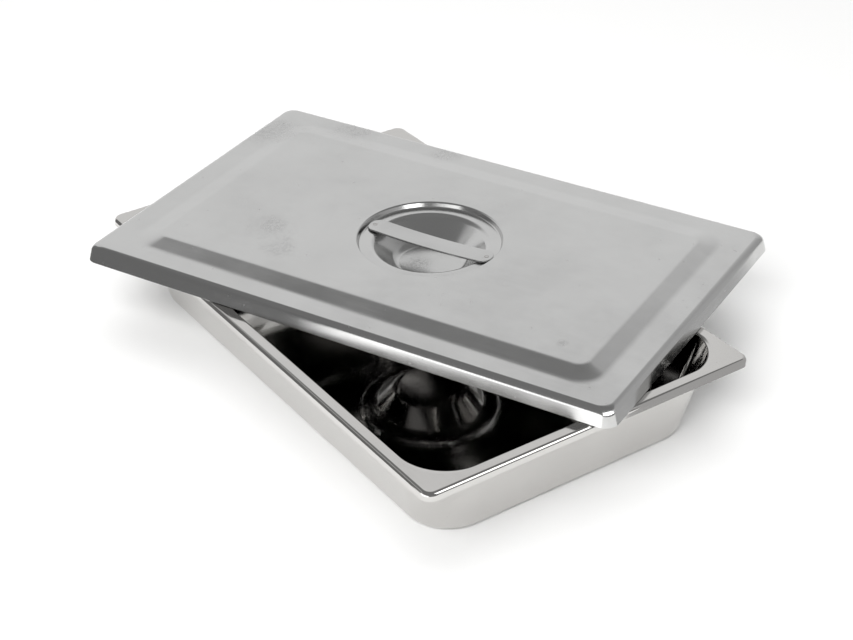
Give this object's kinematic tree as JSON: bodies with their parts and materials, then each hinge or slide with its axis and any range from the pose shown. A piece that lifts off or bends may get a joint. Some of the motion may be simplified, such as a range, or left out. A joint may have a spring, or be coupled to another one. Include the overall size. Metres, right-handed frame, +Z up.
{
  "type": "instrument tray",
  "caption": "Rectangular steel instrument tray with a flat rim and rounded wall corners, and a loose cover with a raised panel and a strap handle across a round recess.",
  "frame": {"origin": "middle of the pan's flat underside, on the surface that it stands on", "axes": "+X along the pan's long side, +Y along its short side, +Z up; the loose cover stands turned 25 degrees about +Z on the rim"},
  "size_m": [0.3578, 0.3028, 0.0556],
  "materials": {
    "tray_pan_steel": "satin stainless steel, brighter on the bends",
    "lid_cover_steel": "fine satin stainless steel with faint handling smudges",
    "strap_handle_steel": "satin stainless steel strip",
    "spot_weld_steel": "slightly heat-tinted spot weld"
  },
  "bodies": {
    "tray": {"tray_pan": "tray_pan_steel"},
    "lid": {"lid_cover": "lid_cover_steel", "strap_handle": "strap_handle_steel", "spot_weld_left": "spot_weld_steel", "spot_weld_right": "spot_weld_steel"}
  },
  "joints": [
    {"name": "lid_lift", "type": "slide", "parent": "tray", "child": "lid", "axis": [0, 0, 1], "range_m": [0, 0.12]}
  ]
}
